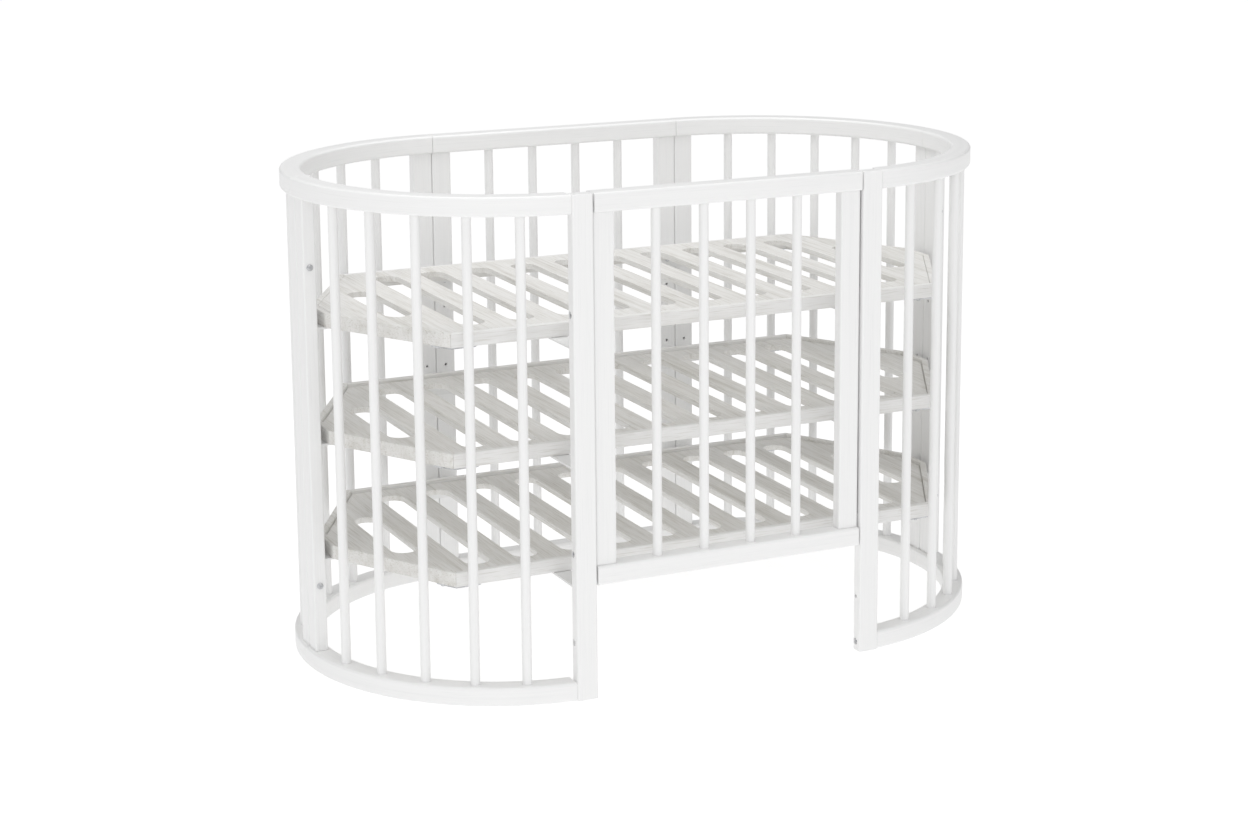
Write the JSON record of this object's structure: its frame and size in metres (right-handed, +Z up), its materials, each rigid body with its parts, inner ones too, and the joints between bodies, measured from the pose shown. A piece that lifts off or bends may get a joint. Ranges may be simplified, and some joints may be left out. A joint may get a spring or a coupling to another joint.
{
  "type": "baby crib",
  "caption": "Oval wooden baby crib: ring of spindled sections bolted together, slatted decks inside at several heights, and a front gate that slides down.",
  "frame": {"origin": "on the floor, under the middle of the oval ring", "axes": "+X along the crib's length, -Y towards the gate, +Z up"},
  "size_m": [1.24, 0.75, 0.835],
  "materials": {
    "white_painted_wood": "satin white paint on beech",
    "washed_deck_wood": "thin white wash, grain showing",
    "bright_steel": "zinc plated",
    "painted_steel": "white powder coat",
    "plain_beech": "bare"
  },
  "bodies": {
    "frame": {"back_left_bottom_rail": "white_painted_wood", "back_left_corner_post": "white_painted_wood", "back_left_middle_post": "white_painted_wood", "back_left_spindles": "white_painted_wood", "back_left_top_rail": "white_painted_wood", "back_middle_bottom_rail": "white_painted_wood", "back_middle_spindles": "white_painted_wood", "back_middle_top_rail": "white_painted_wood", "back_right_bottom_rail": "white_painted_wood", "back_right_corner_post": "white_painted_wood", "back_right_middle_post": "white_painted_wood", "back_right_spindles": "white_painted_wood", "back_right_top_rail": "white_painted_wood", "front_left_bottom_rail": "white_painted_wood", "front_left_spindles": "white_painted_wood", "front_left_top_rail": "white_painted_wood", "front_right_bottom_rail": "white_painted_wood", "front_right_spindles": "white_painted_wood", "front_right_top_rail": "white_painted_wood", "gate_guide_bolts": "bright_steel", "joint_bolts": "bright_steel", "joint_sleeve_nuts": "bright_steel", "left_end_back_post": "white_painted_wood", "left_end_front_post": "white_painted_wood", "left_gate_post": "white_painted_wood", "lower_deck_back_rail": "washed_deck_wood", "lower_deck_brackets": "painted_steel", "lower_deck_corner_plates": "painted_steel", "lower_deck_front_rail": "washed_deck_wood", "lower_deck_left_end_rails": "washed_deck_wood", "lower_deck_right_end_rails": "washed_deck_wood", "lower_deck_screws": "bright_steel", "lower_deck_slat_panel": "washed_deck_wood", "middle_deck_back_rail": "washed_deck_wood", "middle_deck_brackets": "painted_steel", "middle_deck_corner_plates": "painted_steel", "middle_deck_front_rail": "washed_deck_wood", "middle_deck_left_end_rails": "washed_deck_wood", "middle_deck_right_end_rails": "washed_deck_wood", "middle_deck_screws": "bright_steel", "middle_deck_slat_panel": "washed_deck_wood", "rail_end_bolts": "bright_steel", "right_end_back_post": "white_painted_wood", "right_end_front_post": "white_painted_wood", "right_gate_post": "white_painted_wood", "ring_dowels": "plain_beech", "upper_deck_back_rail": "washed_deck_wood", "upper_deck_brackets": "painted_steel", "upper_deck_corner_plates": "painted_steel", "upper_deck_front_rail": "washed_deck_wood", "upper_deck_left_end_rails": "washed_deck_wood", "upper_deck_right_end_rails": "washed_deck_wood", "upper_deck_screws": "bright_steel", "upper_deck_slat_panel": "washed_deck_wood"},
    "gate": {"gate_bottom_rail": "white_painted_wood", "gate_dowels": "plain_beech", "gate_left_stile": "white_painted_wood", "gate_right_stile": "white_painted_wood", "gate_spindles": "white_painted_wood", "gate_top_rail": "white_painted_wood"}
  },
  "joints": [
    {"name": "gate_drop", "type": "slide", "parent": "frame", "child": "gate", "axis": [0, 0, 1], "range_m": [-0.149, 0]}
  ]
}
